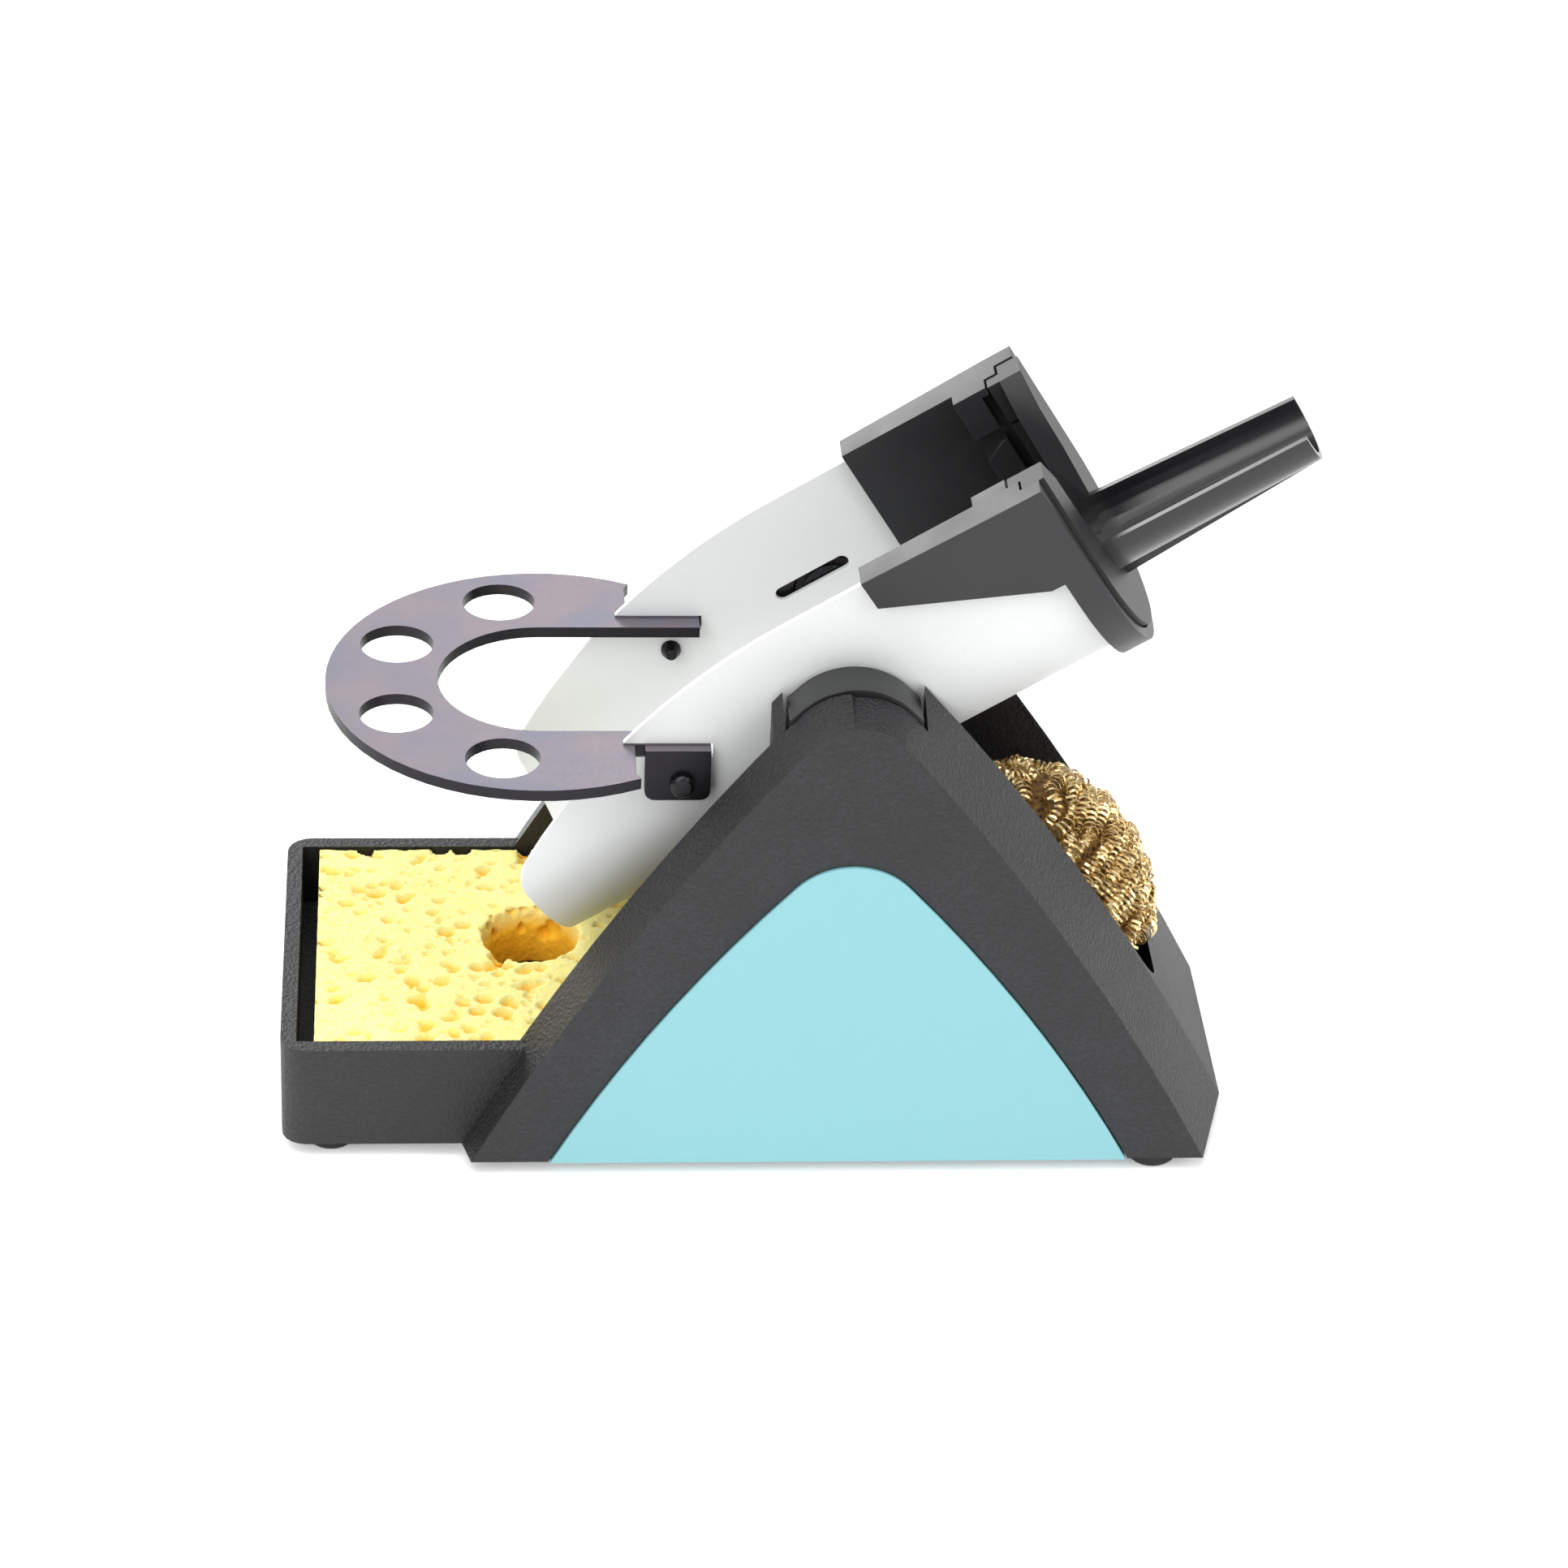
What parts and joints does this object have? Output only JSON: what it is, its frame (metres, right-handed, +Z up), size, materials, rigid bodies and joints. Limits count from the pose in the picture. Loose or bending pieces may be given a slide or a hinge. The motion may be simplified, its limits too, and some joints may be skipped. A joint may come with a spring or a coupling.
{
  "type": "soldering iron stand",
  "caption": "Safety rest for a soldering iron: arch-walled base with sponge tray and brass wool pocket, tilting funnel with handle holder, and a horseshoe plate for spare tips.",
  "frame": {"origin": "on the floor under the middle of the stand, between the feet", "axes": "+Z up; +X towards the raised cable end of the funnel, with the sponge tray at -X; the stand is alike on both sides of Y, apart from the hole in the sponge"},
  "size_m": [0.163, 0.074, 0.1181],
  "materials": {
    "housing_plastic": "matte",
    "cover_plastic": "satin",
    "bearing_plastic": "satin",
    "sheet_metal": "satin",
    "holder_plastic": "satin",
    "gloss_plastic": "gloss",
    "tip_steel": "satin",
    "steel": "satin",
    "rubber": "matte",
    "viscose": "matte",
    "brass": "gloss",
    "fibre": "matte"
  },
  "bodies": {
    "base": {"base_housing": "housing_plastic", "front_cover": "cover_plastic", "back_cover": "cover_plastic", "front_pivot_bearing": "bearing_plastic", "back_pivot_bearing": "bearing_plastic", "front_friction_washer": "fibre", "back_friction_washer": "fibre", "sponge": "viscose", "ballast_plate": "steel", "ballast_screw_1": "steel", "ballast_screw_2": "steel", "ballast_screw_3": "steel", "ballast_screw_4": "steel", "foot_front_left": "rubber", "foot_front_right": "rubber", "foot_back_left": "rubber", "foot_back_right": "rubber"},
    "cradle": {"funnel": "sheet_metal", "iron_holder": "holder_plastic", "tip_holder": "tip_steel", "front_rivet": "gloss_plastic", "back_rivet": "gloss_plastic", "front_pivot_stud": "steel", "back_pivot_stud": "steel"},
    "insert": {"trough_insert": "gloss_plastic"},
    "wool": {"brass_wool": "brass"}
  },
  "joints": [
    {"name": "cradle_tilt", "type": "hinge", "parent": "base", "child": "cradle", "pos_m": [0.00781, 0, 0.07456], "axis": [0, 1, 0], "range_deg": [-10, 10]},
    {"name": "insert_lift", "type": "slide", "parent": "cradle", "child": "insert", "axis": [-0.5344, 0, 0.8453], "range_m": [0, 0.045]},
    {"name": "wool_pull", "type": "slide", "parent": "base", "child": "wool", "axis": [0.8191, 0, 0.5736], "range_m": [0, 0.04]}
  ]
}
